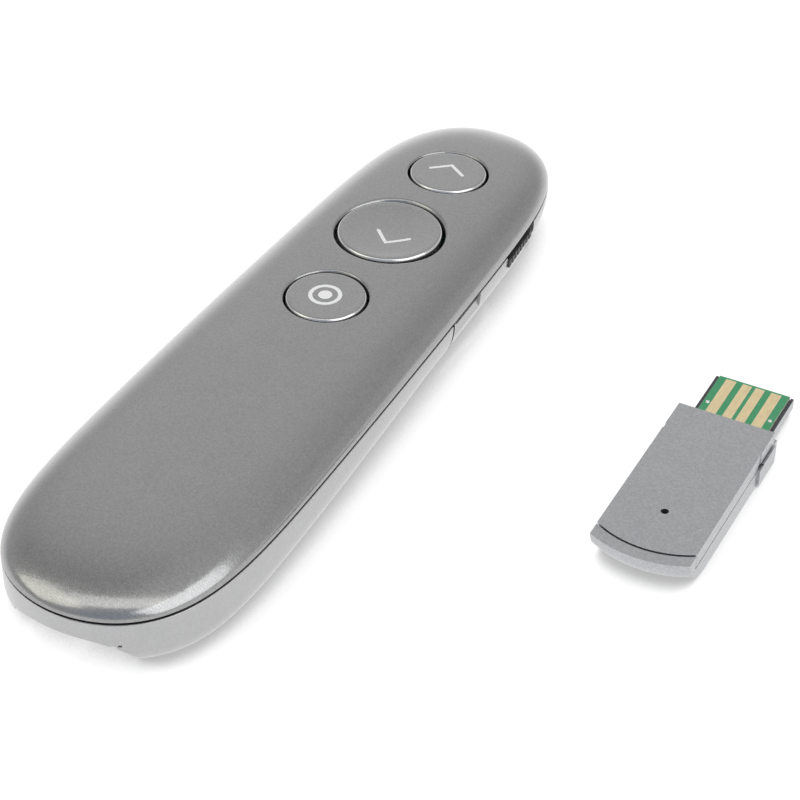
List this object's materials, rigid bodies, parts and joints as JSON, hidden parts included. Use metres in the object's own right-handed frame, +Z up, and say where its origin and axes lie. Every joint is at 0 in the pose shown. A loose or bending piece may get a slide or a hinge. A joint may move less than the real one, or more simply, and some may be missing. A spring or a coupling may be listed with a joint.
{
  "type": "wireless presentation clicker",
  "caption": "Slim domed handset with round buttons, a side power slide and a laser nose, beside its plug-in USB receiver that stows in the tail.",
  "frame": {"origin": "centre of the handset's flat underside, on the surface it lies on", "axes": "+Z up through the buttons, +Y along the handset to the laser nose, +X to the handset's right, where the power slide is and the receiver lies"},
  "size_m": [0.0836, 0.127, 0.0145],
  "materials": {
    "top_lacquer": "fine metallic silver-grey lacquer under a glossy clear coat",
    "shell_silver": "fine light silver lacquer, satin-gloss",
    "button_silver": "fine metallic silver-grey lacquer, bright bevelled edge",
    "frame_black": "moulded black ABS, fine spark texture",
    "knob_grey": "dark grey moulded plastic with fine ribs",
    "board_green": "green solder mask over glass laminate",
    "switch_metal": "tinned steel cover",
    "chip_black": "black moulded chip package",
    "laser_brass": "turned brass",
    "lens_glass": "clear moulded lens",
    "window_red": "dark red clear window",
    "cell_sleeve": "printed plastic sleeve over a steel can",
    "contact_nickel": "nickel-plated spring steel",
    "screw_steel": "zinc-plated steel",
    "receiver_silver": "fine metallic silver lacquer, satin",
    "receiver_board_green": "bright green solder mask, satin",
    "pad_gold": "gold plating",
    "tray_dark": "dark grey moulded liquid-crystal polymer",
    "led_clear": "clear LED package"
  },
  "bodies": {
    "handset": {"top_shell": "top_lacquer", "bottom_shell": "shell_silver", "mid_frame": "frame_black", "main_board": "board_green", "up_switch": "switch_metal", "down_switch": "switch_metal", "laser_switch": "switch_metal", "power_switch": "switch_metal", "laser_barrel": "laser_brass", "laser_lens": "lens_glass", "laser_window": "window_red", "battery_cell": "cell_sleeve", "battery_spring": "contact_nickel", "spring_plate": "contact_nickel", "positive_plate": "contact_nickel", "radio_chip": "chip_black", "control_chip": "chip_black", "crystal": "switch_metal", "boost_coil": "chip_black", "case_screws": "screw_steel"},
    "up_key": {"up_button": "button_silver", "up_plunger": "knob_grey"},
    "down_key": {"down_button": "button_silver", "down_plunger": "knob_grey"},
    "laser_key": {"laser_button": "button_silver", "laser_plunger": "knob_grey"},
    "power_slide": {"power_knob": "knob_grey", "power_lever": "knob_grey"},
    "rear_cover": {"battery_cover": "shell_silver"},
    "receiver": {"receiver_cover": "receiver_silver", "receiver_base": "receiver_silver", "receiver_board": "receiver_board_green", "receiver_pads": "pad_gold", "receiver_chip": "chip_black", "receiver_led": "led_clear", "receiver_crystal": "switch_metal", "plug_tray": "tray_dark"}
  },
  "joints": [
    {"name": "up_press", "type": "slide", "parent": "handset", "child": "up_key", "axis": [0, -0.0661, -0.9978], "range_m": [0, 0.0003], "stiffness_N_per_m": 2000, "springref_m": -0.0003},
    {"name": "down_press", "type": "slide", "parent": "handset", "child": "down_key", "axis": [0, -0.0203, -0.9998], "range_m": [0, 0.0003], "stiffness_N_per_m": 2000, "springref_m": -0.0003},
    {"name": "laser_press", "type": "slide", "parent": "handset", "child": "laser_key", "axis": [0, -0.0083, -1], "range_m": [0, 0.0003], "stiffness_N_per_m": 2000, "springref_m": -0.0003},
    {"name": "power_switch_slide", "type": "slide", "parent": "handset", "child": "power_slide", "axis": [-0.0817, 0.9967, 0], "range_m": [0, 0.0014]},
    {"name": "battery_cover_slide", "type": "slide", "parent": "handset", "child": "rear_cover", "axis": [0, -1, 0], "range_m": [0, 0.03]},
    {"name": "receiver_lift", "type": "slide", "parent": "handset", "child": "receiver", "axis": [0, 0, 1], "range_m": [0, 0.03]}
  ]
}
